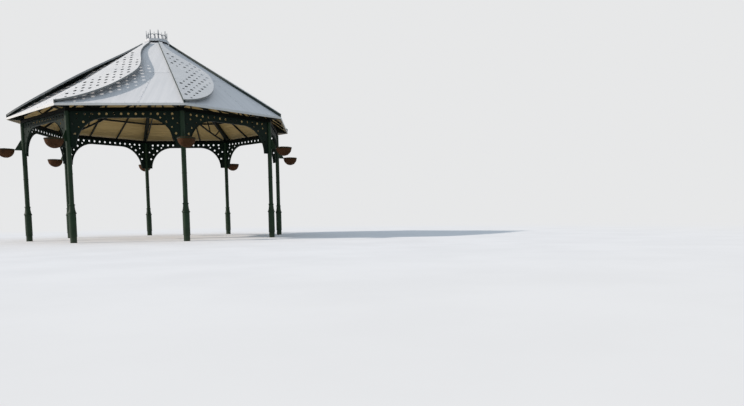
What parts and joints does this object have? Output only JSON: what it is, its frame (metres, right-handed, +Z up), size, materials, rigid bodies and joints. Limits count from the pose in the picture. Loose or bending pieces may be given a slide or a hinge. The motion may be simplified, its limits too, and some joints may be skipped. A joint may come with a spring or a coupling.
{
  "type": "octagonal bandstand",
  "caption": "Open octagonal park bandstand: slim moulded posts, perforated arched friezes and a pyramid roof with raised perforated wings on its hips and a small crown.",
  "frame": {"origin": "on the ground under the crown, at the centre of the ring of posts", "axes": "+Z up; one bay faces -Y and one faces +X"},
  "size_m": [7.6996, 7.6996, 5.8905],
  "materials": {
    "green_paint": "dark green gloss paint on steel",
    "dark_green_beam": "near-black green paint",
    "roof_sheet": "pale grey satin coating, lightly weathered",
    "roof_wing": "pale grey satin coating",
    "white_trim": "off-white satin coating",
    "dark_green_flashing": "dark green satin coating",
    "ceiling_boards": "cream stained boards",
    "dark_rafter": "near-black green paint",
    "vent_black": "matt black paint",
    "crown_grey": "pale grey paint",
    "bowl_liner": "coir liner filled with compost"
  },
  "bodies": {
    "root": {"post_1": "green_paint", "post_2": "green_paint", "post_3": "green_paint", "post_4": "green_paint", "post_5": "green_paint", "post_6": "green_paint", "post_7": "green_paint", "post_8": "green_paint", "frieze_1": "green_paint", "frieze_2": "green_paint", "frieze_3": "green_paint", "frieze_4": "green_paint", "frieze_5": "green_paint", "frieze_6": "green_paint", "frieze_7": "green_paint", "frieze_8": "green_paint", "roof_panel_1": "roof_sheet", "roof_panel_2": "roof_sheet", "roof_panel_3": "roof_sheet", "roof_panel_4": "roof_sheet", "roof_panel_5": "roof_sheet", "roof_panel_6": "roof_sheet", "roof_panel_7": "roof_sheet", "roof_panel_8": "roof_sheet", "hip_wing_1": "roof_wing", "hip_wing_2": "roof_wing", "hip_wing_3": "roof_wing", "hip_wing_4": "roof_wing", "hip_wing_5": "roof_wing", "hip_wing_6": "roof_wing", "hip_wing_7": "roof_wing", "hip_wing_8": "roof_wing", "ring_beam": "dark_green_beam", "ceiling_boards": "ceiling_boards", "eaves_trim": "white_trim", "hip_upstands": "dark_green_flashing", "hip_rafters": "dark_rafter", "common_rafters": "dark_rafter", "purlins": "dark_rafter", "tie_frame": "dark_rafter", "crown_hub": "vent_black", "crown_drum": "crown_grey", "crown_cresting": "crown_grey", "planter_brackets": "green_paint", "planter_bowls": "bowl_liner"}
  },
  "joints": []
}
